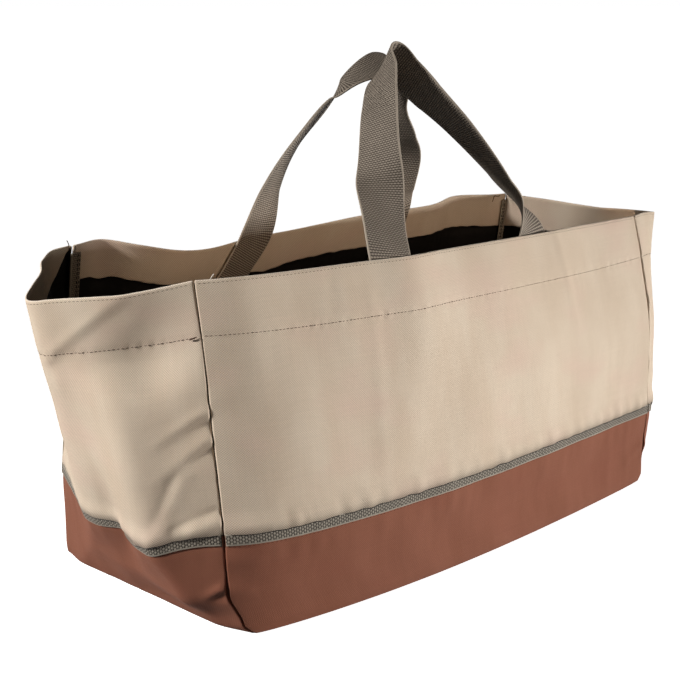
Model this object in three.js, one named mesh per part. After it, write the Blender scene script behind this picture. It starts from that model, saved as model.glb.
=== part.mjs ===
// Open-topped log carrier bag: four cloth panels on a folded base, with two webbing handles.
// Millimetres, Z up; X runs along the bag, Y from its front to its back, origin under the middle of the base.
import * as THREE from "three";

// Cloth sizes. A climb is a length measured up the cloth from the fold at the floor.
const CLOTH_HEIGHT = 260;
const JOINT_CLIMB = 76;
const HEM_CLIMB = 219;
const CLOTH_THICK = 1.2;
const HEM_THICK = 2.4;
const FLOOR_THICK = 1.5;
const GAP = 0.3;
const SEAM_SETBACK = 0.25;

// Trim sizes
const TAPE_LOW = 72;
const TAPE_HIGH = 82;
const TAPE_THICK = 1.2;
const TAPE_END_CUT = 3;
const BINDING_WIDTH = 11;
const BINDING_THICK = 1.5;
const BINDING_INSET = 4;
const BINDING_TOP = 254;
const STRAP_WIDTH = 38;
const STRAP_THICK = 2;
const STRAP_CLEAR = 1.4;
const STRAP_FOOT_CLIMBS = [214, 238, 260];
const STRAP_FOOT_SHARE = 0.1;

// Grid fineness
const SIDE_STEPS = 20;
const END_STEPS = 18;
const BASE_CLIMBS = [0, 9, 20, 36, 54, TAPE_LOW, JOINT_CLIMB - GAP / 2];
const HEM_STEP = 2;
const WALL_CLIMBS = [
  JOINT_CLIMB + GAP / 2, TAPE_HIGH, 105, 130, 155, 180, 200,
  HEM_CLIMB - HEM_STEP, HEM_CLIMB, 240, CLOTH_HEIGHT,
];
const STRAP_STEPS = 52;

// Upright corner seams in plan, one row for each height up the cloth
const SEAMS = [
  { climb: 0, frontLeft: [-229, -118], frontRight: [257, -103], backRight: [250, 112], backLeft: [-245, 112] },
  { climb: 36, frontLeft: [-250, -113], frontRight: [252, -105], backRight: [252, 109], backLeft: [-250, 111] },
  { climb: 72, frontLeft: [-250, -110], frontRight: [250, -109], backRight: [252, 105], backLeft: [-249, 108] },
  { climb: 140, frontLeft: [-250, -101], frontRight: [250, -110], backRight: [254, 96], backLeft: [-247, 101] },
  { climb: 215, frontLeft: [-250, -89], frontRight: [250, -96], backRight: [255, 83], backLeft: [-245, 93] },
  { climb: 260, frontLeft: [-250, -82], frontRight: [250, -83], backRight: [255, 77], backLeft: [-243, 88] },
];

// Corners of the base before its corners are tucked; the lean of the cloth is measured from here
const BASE_CORNERS = { frontLeft: [-249, -117], frontRight: [250, -108], backRight: [250, 112], backLeft: [-248, 112] };

// How far the long sides bow out between their seams, and where along them the bow is greatest
const BOWS = [
  { climb: 0, front: 18, frontPeak: 0.3, back: 10 },
  { climb: 36, front: 23, frontPeak: 0.3, back: 12 },
  { climb: 72, front: 26, frontPeak: 0.3, back: 14 },
  { climb: 140, front: 24, frontPeak: 0.3, back: 12 },
  { climb: 215, front: 18, frontPeak: 0.32, back: 0 },
  { climb: 260, front: 14, frontPeak: 0.36, back: -10 },
];

// Two upright folds in each end: how far each stands out from the seams, and its place across the bag
const LEFT_FOLDS = [
  { climb: 0, frontOut: 8, frontY: -30, backOut: 8, backY: 60, round: 0.1 },
  { climb: 36, frontOut: 20, frontY: -92, backOut: 18, backY: 50, round: 0.06 },
  { climb: 72, frontOut: 36, frontY: -70, backOut: 28, backY: 30, round: 0.04 },
  { climb: 140, frontOut: 50, frontY: -40, backOut: 51, backY: 24, round: 0.08 },
  { climb: 215, frontOut: 75, frontY: -8, backOut: 73, backY: 14, round: 0.06 },
  { climb: 260, frontOut: 83, frontY: 8, backOut: 82, backY: 14, round: 0.04 },
];
const RIGHT_FOLDS = [
  { climb: 0, frontOut: 5, frontY: -80, backOut: 6, backY: 60, round: 0.1 },
  { climb: 36, frontOut: 18, frontY: -95, backOut: 16, backY: 50, round: 0.06 },
  { climb: 72, frontOut: 34, frontY: -90, backOut: 28, backY: 40, round: 0.05 },
  { climb: 140, frontOut: 43, frontY: -82, backOut: 36, backY: 20, round: 0.06 },
  { climb: 215, frontOut: 55, frontY: -68, backOut: 38, backY: -6, round: 0.06 },
  { climb: 260, frontOut: 69, frontY: -57, backOut: 28, backY: -30, round: 0.05 },
];

// Waves of the back rim: place along the panel, spread, and depth outward, fading to nothing below
const RIM_WAVES = [
  { along: 0.945, spread: 0.035, out: 20 },
  { along: 0.83, spread: 0.065, out: -30 },
];
const WAVE_FADE_CLIMB = 110;

// How far the rim hangs below the length of its cloth: at the two seams and in the middle of each panel
const RIM_SAG = {
  front: { start: 0, end: 4, middle: 2.5 },
  right: { start: 4, end: -2, middle: 0 },
  back: { start: -2, end: -2, middle: 2 },
  left: { start: -2, end: 0, middle: 4 },
};

// Panels in order round the bag, each from its first seam to its second
const PANELS = {
  front: { from: "frontLeft", to: "frontRight", steps: SIDE_STEPS, before: "left", after: "right" },
  right: { from: "frontRight", to: "backRight", steps: END_STEPS, before: "front", after: "back" },
  back: { from: "backRight", to: "backLeft", steps: SIDE_STEPS, before: "right", after: "left" },
  left: { from: "backLeft", to: "frontLeft", steps: END_STEPS, before: "back", after: "front" },
};

// Handle paths above the rim: share of the free length, place, and turn of the flat out of the handle's plane
const FRONT_HANDLE = {
  panel: "front", footAlong: [0.331, 0.693], lean: [0, 0.886, -0.464],
  path: [
    { share: 0.12, x: -67, y: -77, z: 292, turn: -24 },
    { share: 0.25, x: -50, y: -57, z: 330, turn: -46 },
    { share: 0.38, x: -30, y: -37, z: 369, turn: -72 },
    { share: 0.45, x: -12, y: -25, z: 392, turn: -84 },
    { share: 0.5, x: 4, y: -20, z: 400, turn: -88 },
    { share: 0.55, x: 14, y: -27, z: 387, turn: -86 },
    { share: 0.62, x: 28, y: -37, z: 369, turn: -82 },
    { share: 0.75, x: 52, y: -52, z: 340, turn: -72 },
    { share: 0.88, x: 77, y: -70, z: 306, turn: -58 },
    { share: 0.95, x: 90, y: -81, z: 283, turn: -42 },
  ],
};
const BACK_HANDLE = {
  panel: "back", footAlong: [0.668, 0.334], lean: [0, 0.921, 0.39],
  path: [
    { share: 0.12, x: -68, y: 52, z: 290, turn: 13 },
    { share: 0.25, x: -54, y: 36, z: 331, turn: 27 },
    { share: 0.36, x: -35, y: 27, z: 360, turn: 36 },
    { share: 0.43, x: -10, y: 20, z: 386, turn: 64 },
    { share: 0.5, x: 21, y: 15, z: 402, turn: 90 },
    { share: 0.56, x: 35, y: 19, z: 388, turn: 88 },
    { share: 0.62, x: 44, y: 25, z: 367, turn: 70 },
    { share: 0.75, x: 62, y: 35, z: 335, turn: 44 },
    { share: 0.86, x: 78, y: 46, z: 306, turn: 36 },
    { share: 0.95, x: 84, y: 57, z: 277, turn: 20 },
  ],
};

const TAN_CLOTH = new THREE.MeshStandardMaterial({ name: "tan_cloth", color: 0xc8b299, roughness: 0.9, metalness: 0 });
const BROWN_CLOTH = new THREE.MeshStandardMaterial({ name: "brown_cloth", color: 0x8a5746, roughness: 0.9, metalness: 0 });
const WEBBING = new THREE.MeshStandardMaterial({ name: "webbing", color: 0x6b6158, roughness: 0.85, metalness: 0 });

const clamp = THREE.MathUtils.clamp;
const mix = THREE.MathUtils.lerp;

// Smooth curve through one column of a table, by the key column, level where the column turns back
function column(rows, key, read, at) {
  const x = rows.map((row) => row[key]);
  const y = rows.map(read);
  const last = x.length - 1;
  const rise = (i) => (y[i + 1] - y[i]) / (x[i + 1] - x[i]);
  const slope = (i) => {
    if (i === 0) return rise(0);
    if (i === last) return rise(last - 1);
    if (rise(i - 1) * rise(i) <= 0) return 0;
    const before = x[i] - x[i - 1];
    const after = x[i + 1] - x[i];
    return (rise(i - 1) * after + rise(i) * before) / (before + after);
  };
  let i = 0;
  while (i < last - 1 && at >= x[i + 1]) i += 1;
  const width = x[i + 1] - x[i];
  const s = (at - x[i]) / width;
  const start = y[i] * (1 + 2 * s) * (1 - s) ** 2 + slope(i) * width * s * (1 - s) ** 2;
  return start + y[i + 1] * s * s * (3 - 2 * s) + slope(i + 1) * width * s * s * (s - 1);
}

function seamAt(name, climb) {
  return [0, 1].map((axis) => column(SEAMS, "climb", (row) => row[name][axis], climb));
}

// Point a share of the way along a bent line through four plan points
function alongBends(points, share) {
  const lengths = [0, 1, 2].map((i) => Math.hypot(points[i + 1][0] - points[i][0], points[i + 1][1] - points[i][1]));
  let left = share * (lengths[0] + lengths[1] + lengths[2]);
  let leg = 0;
  while (leg < 2 && left > lengths[leg]) {
    left -= lengths[leg];
    leg += 1;
  }
  const s = left / lengths[leg];
  return [mix(points[leg][0], points[leg + 1][0], s), mix(points[leg][1], points[leg + 1][1], s)];
}

// Plan of an end panel: two folds between the seams, rounded by averaging along the cloth
function endPlan(name, along, climb) {
  const table = name === "left" ? LEFT_FOLDS : RIGHT_FOLDS;
  const outward = name === "left" ? -1 : 1;
  const read = (field) => column(table, "climb", (row) => row[field], climb);
  const first = seamAt(PANELS[name].from, climb);
  const second = seamAt(PANELS[name].to, climb);
  const fold = (side) => {
    const y = read(`${side}Y`);
    const share = (y - first[1]) / (second[1] - first[1]);
    return [mix(first[0], second[0], share) + outward * read(`${side}Out`), y];
  };
  const folds = name === "left" ? [fold("back"), fold("front")] : [fold("front"), fold("back")];
  const reach = Math.min(read("round"), along, 1 - along);
  const total = [0, 0];
  const samples = 9;
  for (let i = 0; i < samples; i += 1) {
    const point = alongBends([first, ...folds, second], along + reach * (-1 + (2 * i) / (samples - 1)));
    total[0] += point[0] / samples;
    total[1] += point[1] / samples;
  }
  return total;
}

// Outward bow of a long side: zero at the seams, greatest at its peak
function sideBow(name, along, climb) {
  const peak = name === "front" ? column(BOWS, "climb", (row) => row.frontPeak, climb) : 0.5;
  const skew = (0.5 - peak) / (peak * (1 - peak));
  const share = along + skew * along * (1 - along);
  return column(BOWS, "climb", (row) => row[name], climb) * Math.sin(Math.PI * share);
}

function rimWave(along, climb) {
  const s = clamp((climb - WAVE_FADE_CLIMB) / (CLOTH_HEIGHT - WAVE_FADE_CLIMB), 0, 1);
  const wave = RIM_WAVES.reduce((sum, row) => sum + row.out * Math.exp(-(((along - row.along) / row.spread) ** 2)), 0);
  return wave * s * s * (3 - 2 * s);
}

function sidePlan(name, along, climb) {
  const first = seamAt(PANELS[name].from, climb);
  const second = seamAt(PANELS[name].to, climb);
  const outward = name === "front" ? -1 : 1;
  const wave = name === "back" ? rimWave(along, climb) : 0;
  const y = mix(first[1], second[1], along) + outward * (sideBow(name, along, climb) + wave);
  return [mix(first[0], second[0], along), y];
}

// Outer face of the cloth: the plan gives x and y, and the length of the cloth gives the height
function wallPoint(name, along, climb) {
  const isSide = name === "front" || name === "back";
  const plan = isSide ? sidePlan(name, along, climb) : endPlan(name, along, climb);
  const first = BASE_CORNERS[PANELS[name].from];
  const second = BASE_CORNERS[PANELS[name].to];
  const footX = mix(first[0], second[0], along);
  const bow = isSide ? sideBow(name, along, 0) * (name === "front" ? -1 : 1) : 0;
  const footY = mix(first[1], second[1], along) + bow;
  const lean = (plan[0] - footX) ** 2 + (plan[1] - footY) ** 2;
  const sag = RIM_SAG[name];
  const hang = mix(sag.start, sag.end, along) + sag.middle * Math.sin(Math.PI * along);
  const z = Math.sqrt(Math.max(climb ** 2 - lean, 0.3 * climb ** 2)) - hang * (climb / CLOTH_HEIGHT) ** 2;
  return new THREE.Vector3(plan[0], plan[1], z);
}

function wallNormal(name, along, climb) {
  const step = 0.012;
  const rise = 4;
  const across = wallPoint(name, Math.min(along + step, 1), climb).sub(wallPoint(name, Math.max(along - step, 0), climb));
  const up = wallPoint(name, along, Math.min(climb + rise, CLOTH_HEIGHT));
  up.sub(wallPoint(name, along, Math.max(climb - rise, 0)));
  return across.cross(up).normalize();
}

// Direction to offset the cloth in, mitred at a seam so that both panels end on one plane
function offsetAt(name, along, climb) {
  const own = wallNormal(name, along, climb);
  const nearSeam = along < 0.01 ? [PANELS[name].before, 1, 0] : along > 0.99 ? [PANELS[name].after, 0, 1] : null;
  if (!nearSeam) return own;
  const atSeam = wallNormal(name, nearSeam[2], climb);
  const other = wallNormal(nearSeam[0], nearSeam[1], climb);
  const middle = atSeam.clone().add(other).normalize();
  return middle.multiplyScalar(1 / Math.max(middle.dot(atSeam), 0.6));
}

function panelLength(name) {
  const first = wallPoint(name, 0, CLOTH_HEIGHT);
  return first.distanceTo(wallPoint(name, 1, CLOTH_HEIGHT));
}

// Stations along a panel, kept back from its seams
function stations(name, setback) {
  const margin = setback / panelLength(name);
  const steps = PANELS[name].steps;
  return Array.from({ length: steps + 1 }, (_, i) => clamp(i / steps, margin, 1 - margin));
}

function offsetPoint(name, along, climb, distance) {
  return wallPoint(name, along, climb).addScaledVector(offsetAt(name, along, climb), distance);
}

// Closed body between an outer and an inner grid of rows; a ring joins the last column to the first
function bodyBetween(outer, inner, isRing) {
  const rows = outer.length;
  const columns = outer[0].length;
  const points = [...outer.flat(), ...inner.flat()];
  const faces = [];
  const quad = (a, b, c, d) => faces.push(a, b, c, a, c, d);
  const out = (row, col) => row * columns + (col % columns);
  const inn = (row, col) => rows * columns + out(row, col);
  const spans = isRing ? columns : columns - 1;
  for (let col = 0; col < spans; col += 1) {
    for (let row = 0; row < rows - 1; row += 1) {
      quad(out(row, col), out(row, col + 1), out(row + 1, col + 1), out(row + 1, col));
      quad(inn(row, col), inn(row + 1, col), inn(row + 1, col + 1), inn(row, col + 1));
    }
    quad(out(rows - 1, col), out(rows - 1, col + 1), inn(rows - 1, col + 1), inn(rows - 1, col));
    if (!isRing) quad(inn(0, col), inn(0, col + 1), out(0, col + 1), out(0, col));
  }
  for (let row = 0; row < rows - 1 && !isRing; row += 1) {
    quad(out(row, 0), out(row + 1, 0), inn(row + 1, 0), inn(row, 0));
    const end = columns - 1;
    quad(inn(row, end), inn(row + 1, end), out(row + 1, end), out(row, end));
  }
  if (isRing) {
    const underside = points.push(new THREE.Vector3(0, 0, 0)) - 1;
    const top = points.push(new THREE.Vector3(0, 0, FLOOR_THICK)) - 1;
    for (let col = 0; col < columns; col += 1) {
      faces.push(out(0, col + 1), out(0, col), underside);
      faces.push(inn(0, col), inn(0, col + 1), top);
    }
  }
  const geometry = new THREE.BufferGeometry();
  geometry.setAttribute("position", new THREE.Float32BufferAttribute(points.flatMap((p) => [p.x, p.y, p.z]), 3));
  geometry.setIndex(faces);
  geometry.computeVertexNormals();
  return geometry;
}

// Upper cloth panel, doubled where the hem is turned in
function panelGeometry(name) {
  const along = stations(name, SEAM_SETBACK);
  const row = (climb, distance) => along.map((s) => offsetPoint(name, s, climb, distance));
  const outer = WALL_CLIMBS.map((climb) => row(climb, 0));
  const inner = WALL_CLIMBS.map((climb) => row(climb, climb < HEM_CLIMB ? -CLOTH_THICK : -HEM_THICK));
  return bodyBetween(outer, inner, false);
}

// Base cloth: floor and four low walls in one piece, its corners tucked in at the floor
function baseGeometry() {
  const ring = (climb, distance) =>
    Object.keys(PANELS).flatMap((name) =>
      stations(name, 0).slice(0, -1).map((s) => offsetPoint(name, s, climb, distance)),
    );
  const outer = BASE_CLIMBS.map((climb) => ring(climb, 0));
  const inner = BASE_CLIMBS.map((climb) => ring(climb, -CLOTH_THICK));
  inner[0].forEach((point) => {
    point.z = FLOOR_THICK;
  });
  return bodyBetween(outer, inner, true);
}

// Flat tape over the joint of the two cloths, on the outside of one panel and cut short of its seams
function tapeGeometry(name) {
  const along = stations(name, 0);
  const row = (climb, distance) => {
    const points = along.map((s) => offsetPoint(name, s, climb, distance));
    const last = points.length - 1;
    const cut = (end, next) => end.lerp(next, TAPE_END_CUT / end.distanceTo(next));
    cut(points[0], points[1]);
    cut(points[last], points[last - 1]);
    return points;
  };
  const rows = (distance) => [TAPE_LOW, JOINT_CLIMB, TAPE_HIGH].map((climb) => row(climb, distance));
  return bodyBetween(rows(GAP + TAPE_THICK), rows(GAP), false);
}

// Binding tape down the inside of a corner seam, laid on the long side beside the seam
function bindingGeometry(name, atStart) {
  const length = panelLength(name);
  const shares = [BINDING_INSET, BINDING_INSET + BINDING_WIDTH].map((d) => d / length);
  const along = atStart ? shares : [1 - shares[1], 1 - shares[0]];
  const climbs = [...WALL_CLIMBS.slice(1, -1), BINDING_TOP];
  const near = -HEM_THICK - GAP;
  const rows = (distance) =>
    climbs.map((climb) => along.map((s) => wallPoint(name, s, climb).addScaledVector(wallNormal(name, s, climb), distance)));
  return bodyBetween(rows(near), rows(near - BINDING_THICK), false);
}

// Frame of a strap: its path, the direction in the handle's plane and the direction off that plane
function strapFrame(handle, path) {
  const off = new THREE.Vector3(...handle.lean);
  off.addScaledVector(path, -off.dot(path)).normalize();
  return { off, flat: off.clone().cross(path) };
}

// Rows of one sewn foot, lying flat against the inside of the hem
function footRows(handle, i) {
  const panel = handle.panel;
  const along = handle.footAlong[i];
  const inward = HEM_THICK + STRAP_CLEAR + STRAP_THICK / 2;
  const path = wallPoint(panel, along, CLOTH_HEIGHT).sub(wallPoint(panel, along, HEM_CLIMB)).normalize();
  const { off, flat } = strapFrame(handle, i === 0 ? path : path.negate());
  return STRAP_FOOT_CLIMBS.map((climb) => {
    const point = wallPoint(panel, along, climb).addScaledVector(wallNormal(panel, along, climb), -inward);
    const across = wallPoint(panel, along + 0.035, climb).sub(wallPoint(panel, along - 0.035, climb));
    const turn = Math.atan(across.dot(off) / across.dot(flat));
    return { x: point.x, y: point.y, z: point.z, turn: THREE.MathUtils.radToDeg(turn) };
  });
}

// Strap rows from one sewn foot over the top to the other
function strapRows(handle) {
  const first = footRows(handle, 0);
  const second = footRows(handle, 1).reverse();
  const rows = [...first, ...handle.path, ...second];
  const middle = handle.path.map((row) => mix(STRAP_FOOT_SHARE, 1 - STRAP_FOOT_SHARE, row.share));
  const foot = first.map((_, i) => (STRAP_FOOT_SHARE * i) / (first.length - 1));
  const shares = [...foot, ...middle, ...foot.map((share) => 1 - share).reverse()];
  return rows.map((row, i) => ({ ...row, share: shares[i] }));
}

// Flat strap swept along its rows, turned about its path
function handleGeometry(handle) {
  const rows = strapRows(handle);
  const read = (field, share) => column(rows, "share", (row) => row[field], share);
  const centre = (share) => new THREE.Vector3(read("x", share), read("y", share), read("z", share));
  const outer = [];
  const inner = [];
  for (let i = 0; i <= STRAP_STEPS; i += 1) {
    const share = i / STRAP_STEPS;
    const path = centre(Math.min(share + 0.004, 1)).sub(centre(Math.max(share - 0.004, 0))).normalize();
    const { off, flat } = strapFrame(handle, path);
    const turn = THREE.MathUtils.degToRad(read("turn", share));
    const across = flat.multiplyScalar(Math.cos(turn)).addScaledVector(off, Math.sin(turn));
    const face = path.clone().cross(across).multiplyScalar(STRAP_THICK / 2);
    const edge = (side) => centre(share).addScaledVector(across, (side * STRAP_WIDTH) / 2);
    outer.push([edge(-1).sub(face), edge(1).sub(face)]);
    inner.push([edge(-1).add(face), edge(1).add(face)]);
  }
  return bodyBetween(outer, inner, false);
}

const bag = new THREE.Group();
bag.name = "log_carrier";

function add(name, geometry, material) {
  const mesh = new THREE.Mesh(geometry, material);
  mesh.name = name;
  bag.add(mesh);
}

add("base_tub", baseGeometry(), BROWN_CLOTH);
add("front_panel", panelGeometry("front"), TAN_CLOTH);
add("right_end_panel", panelGeometry("right"), TAN_CLOTH);
add("back_panel", panelGeometry("back"), TAN_CLOTH);
add("left_end_panel", panelGeometry("left"), TAN_CLOTH);
add("front_tape", tapeGeometry("front"), WEBBING);
add("right_tape", tapeGeometry("right"), WEBBING);
add("back_tape", tapeGeometry("back"), WEBBING);
add("left_tape", tapeGeometry("left"), WEBBING);
add("front_left_binding", bindingGeometry("front", true), WEBBING);
add("front_right_binding", bindingGeometry("front", false), WEBBING);
add("back_right_binding", bindingGeometry("back", true), WEBBING);
add("back_left_binding", bindingGeometry("back", false), WEBBING);
add("front_handle", handleGeometry(FRONT_HANDLE), WEBBING);
add("back_handle", handleGeometry(BACK_HANDLE), WEBBING);

export default bag;
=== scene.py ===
import bpy
import numpy as np
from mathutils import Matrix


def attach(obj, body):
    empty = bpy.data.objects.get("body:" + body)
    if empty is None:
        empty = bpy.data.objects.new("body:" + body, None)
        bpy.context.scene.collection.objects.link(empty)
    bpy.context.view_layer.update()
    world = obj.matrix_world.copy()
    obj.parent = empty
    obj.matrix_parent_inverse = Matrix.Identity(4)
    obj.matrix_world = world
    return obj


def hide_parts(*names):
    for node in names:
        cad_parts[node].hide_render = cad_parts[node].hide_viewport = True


# Open-topped log carrier: tan cloth panels on a brown folded base, with grey tape, bindings and webbing
# handles. Sizes are in millimetres, as in the part's source, and meshes are made in metres. A climb is a
# length measured up the cloth from the fold at the floor, and s a length along a panel from its first seam.
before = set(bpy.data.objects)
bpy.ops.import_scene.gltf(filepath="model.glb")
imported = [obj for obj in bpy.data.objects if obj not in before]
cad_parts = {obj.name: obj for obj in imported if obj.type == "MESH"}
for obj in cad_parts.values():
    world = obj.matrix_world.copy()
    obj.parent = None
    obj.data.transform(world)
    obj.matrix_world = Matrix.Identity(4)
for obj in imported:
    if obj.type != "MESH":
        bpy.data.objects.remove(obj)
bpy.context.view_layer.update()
MM = 0.001

# Camera, light and floor: the room's light is a share of the white of its horizon
CAMERA_PLACE = (-0.817, -0.860, 0.4445)
CAMERA_TURN = np.radians((76.6, 0.0, -42.1))
CAMERA_LENS = 74.65
CAMERA_SENSOR = 36.0
FLOOR_SIZE = 400.0
FLOOR_DROP = 0.0002
FLOOR_GLOW = 1.0
ROOM_LIGHT = 0.05
ROOM_TINT = (1.0, 0.88, 0.76, 1.0)
HORIZON_BAND = (0.02, 0.05)
# Softboxes: place, point it is aimed at, width and height in metres, beam in degrees, power in watts, and
# colour
WHITE_LIGHT = (1.0, 0.98, 0.95)
WARM_LIGHT = (1.0, 0.76, 0.56)
SOFTBOXES = {
    "left_softbox": ((-2.8, 1.02, 1.44), (-0.28, 0.0, 0.17), 0.5, 0.4, 22, 2.3, WHITE_LIGHT),
    "right_softbox": ((1.9, -2.45, 0.16), (-0.02, -0.1, 0.13), 0.6, 0.3, 30, 3.4, WHITE_LIGHT),
    "mouth_card": ((0.04, -0.06, 0.26), (0.04, 0.1, 0.24), 0.52, 0.05, 60, 0.042, WARM_LIGHT),
}

camera = bpy.data.objects.new("camera", bpy.data.cameras.new("camera"))
camera.location = CAMERA_PLACE
camera.rotation_euler = CAMERA_TURN
camera.data.lens = CAMERA_LENS
camera.data.sensor_width = CAMERA_SENSOR
bpy.context.scene.collection.objects.link(camera)
bpy.context.scene.camera = camera
bpy.context.scene.view_settings.view_transform = "Standard"


def table(names, *lines):
    """A short table of numbers with named columns, one line a row."""
    return np.array([tuple(line) for line in lines], dtype=[(name, float) for name in names.split()])


# Cloth and trim sizes
CLOTH_HEIGHT = 260.0
JOINT_CLIMB = 76.0
CLOTH_THICK = 0.9
HEM_THICK = 1.8
BASE_THICK = 1.0
FLOOR_THICK = 1.5
BASE_TOP = 88.0
BASE_FOLD = 3.5
# Base: spare cloth at each corner, shares of the way out over the floor of its rings, and the cloth between
# two rings
CORNER_SPARE = 10.0
FLOOR_RINGS = (0.02, 0.3, 0.6, 0.85, 0.96)
FLOOR_RING_STEP = 60.0
# Tape: it rests on the relief of the brown cloth this far below its middle
TAPE_REST = 6.0
TAPE_WIDTH = 8.8
TAPE_THICK = 0.9
TAPE_CLEAR = 0.35
TAPE_END_CUT = 1.2
# Bindings, and their climbs from foot to top
BINDING_WIDTH = 9.5
BINDING_THICK = 1.5
BINDING_INSET = -2.5
BINDING_FOOT = 83.0
BINDING_TOP = 254.0
BINDING_STEPS = 90
BINDING_CLEAR = 2.7
# Handle straps: how far inside the rim their feet lie, the climbs of the feet's rows, and each foot's share
# of the strap
STRAP_WIDTH = 38.0
STRAP_THICK = 1.8
STRAP_INWARD = 4.8
STRAP_FOOT_CLIMBS = np.array([214.0, 238.0, 260.0])
STRAP_FOOT_SHARE = 0.1
# Spacing of the columns of the cloth
GRID_STEP = 2.2

# How far the folded rim rounds over above its face, and the climb of the step at the hem's raw edge
RIM_ROUND = 0.8
HEM_STEP = 0.5

# Upright corner seams in plan: front left, front right, back right and back left
SEAMS = table(
    "climb fl_x fl_y fr_x fr_y br_x br_y bl_x bl_y",
    (0, -229, -118, 247, -100, 243, 105, -246, 111),
    (12, -237, -116, 252, -105, 249, 110, -247, 111),
    (36, -250, -113, 252, -105, 252, 109, -247, 111),
    (72, -250, -110, 250, -109, 252, 105, -249, 108),
    (140, -251, -102, 250, -109, 254, 96, -247, 101),
    (215, -252, -92, 250, -96, 255, 83, -245, 93),
    (260, -252, -84, 250, -84, 255, 77, -243, 88),
)
BASE_CORNERS = {"fl": (-249, -117), "fr": (250, -108), "br": (250, 112), "bl": (-248, 112)}
# How far the long sides bow out between their seams, where along the front its bow is greatest and the
# power that fills it out, and how far the front swells out at once beside its first seam
BOWS = table(
    "climb front front_peak front_power front_swell back",
    (0, 18, 0.42, 0.7, 0, 10),
    (36, 19, 0.38, 0.85, 8, 12),
    (72, 17.5, 0.42, 1.0, 16, 14),
    (140, 18, 0.40, 1.0, 15, 12),
    (215, 18, 0.38, 1.0, 13, 0),
    (260, 14, 0.40, 1.0, 12, -10),
)
SWELL_REACH = 0.04
# Two upright folds in each end: how far each stands out from the seams, and its place across the bag
FOLDS = {
    "left": table(
        "climb front_out front_y back_out back_y round",
        (0, 8, -92, 7, 84, 0.03),
        (36, 20, -85, 16, 45, 0.025),
        (72, 35, -73, 31, 22, 0.03),
        (140, 49, -67, 51, 24, 0.08),
        (180, 48, -60, 63, 18, 0.08),
        (215, 49, -30, 76, 14, 0.09),
        (260, 39, -53, 84.5, 20, 0.08),
    ),
    "right": table(
        "climb front_out front_y back_out back_y round",
        (0, 5, -80, 6, 60, 0.10),
        (36, 18, -95, 16, 50, 0.06),
        (72, 34, -90, 28, 40, 0.05),
        (140, 40, -86, 36, 20, 0.06),
        (215, 42, -78, 32, -10, 0.06),
        (260, 46, -76, 12, -36, 0.03),
    ),
}
# Dents pressed into an end about a place on it, with the reach of each along and up the cloth
END_DENTS = {"left": table("along spread climb reach depth", (0.565, 0.07, 76, 42, 6.5))}
# Waves of the rim across the bag, fading to nothing down the cloth
RIM_WAVES = {
    "front": table("along spread out", (0.36, 0.06, 7)),
    "back": table("along spread out", (0.945, 0.035, 9), (0.80, 0.11, -16), (0.12, 0.07, 16)),
    "left": table("along spread out", (0.118, 0.09, -17), (0.2, 0.04, -5.4)),
}
WAVE_FADE_CLIMB = 110.0
# How far the upper cloth of each panel hangs below its own length, reached at a climb and even above it
RIM_SAG = {
    "front": table("along hang", (0, -1.5), (0.5, 1.2), (1, 4)),
    "right": table("along hang", (0, 4), (0.5, 1), (1, -2)),
    "back": table(
        "along hang", (0, -2), (0.4, -3), (0.5, -0.5), (0.6, 3), (0.7, 4), (0.77, 5), (0.83, 4),
        (0.89, -0.4), (0.945, -3.8), (1, -2.7),
    ),
    "left": table(
        "along hang", (0, -2), (0.3, 6), (0.42, 9.2), (0.55, 8.0), (0.7, 7.7), (0.82, 6.7),
        (0.9, 4.1), (0.95, 1.6), (1, -1.3),
    ),
}
SAG_CLIMB = 215.0
# Panels in order round the bag: first seam, second seam, panel before, panel after, outward side
PANELS = {
    "front": ("fl", "fr", "left", "right", -1),
    "right": ("fr", "br", "front", "back", 1),
    "back": ("br", "bl", "right", "left", 1),
    "left": ("bl", "fl", "back", "front", -1),
}

# How a panel's edge turns into its corner seam: width of the groove and depth of the turned-in edge,
# then the radius of the turn, the number of steps round it and the cloth taken up by each
CORNER_TUCK = table(
    "climb gap depth",
    (0, 0.6, 0.6),
    (8, 1.2, 4.0),
    (26, 2.0, 6.0),
    (36, 2.6, 7.0),
    (44, 1.4, 6.0),
    (60, 0.3, 2.8),
    (260, 0.3, 2.8),
)
TUCK_RADIUS = 1.7
TUCK_TURNS = 5
TUCK_STEP = 0.8

# Climb of the sewn line of the hem along each panel
HEM_LINES = {
    "front": table("along climb", (0, 221), (0.25, 219.5), (0.8, 219.5), (1, 222)),
    "right": table("along climb", (0, 222), (0.5, 219), (1, 220)),
    "back": table("along climb", (0, 220), (0.5, 219), (1, 220)),
    "left": table("along climb", (0, 219), (0.5, 220), (1, 221)),
}
# Climb of the raw edge of the turned-in hem on the inside
HEM_EDGES = {
    "front": table("along climb", (0, 227), (0.3, 224), (0.6, 226), (1, 227)),
    "right": table("along climb", (0, 227), (0.4, 225), (0.9, 228), (1, 227)),
    "back": table(
        "along climb", (0, 227), (0.1, 228.2), (0.28, 229), (0.4, 227), (0.5, 228.5), (0.56, 228),
        (0.615, 224.2), (0.66, 226.8), (0.78, 230), (0.87, 229), (0.92, 230.2), (0.94, 227.6), (0.96, 230),
        (1, 231.5),
    ),
    "left": table(
        "along climb", (0, 258), (0.015, 257), (0.045, 247), (0.07, 240), (0.09, 236.5), (0.13, 233.5),
        (0.24, 231), (0.36, 229), (0.5, 226), (1, 227),
    ),
}
# Climbs of the sewn lines of the rim and of the tape, and of the shallow valley by the tape's line
RIM_LINE = 257.6
TAPE_LINE = 70.6
TAPE_VALLEY = 70.5

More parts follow.
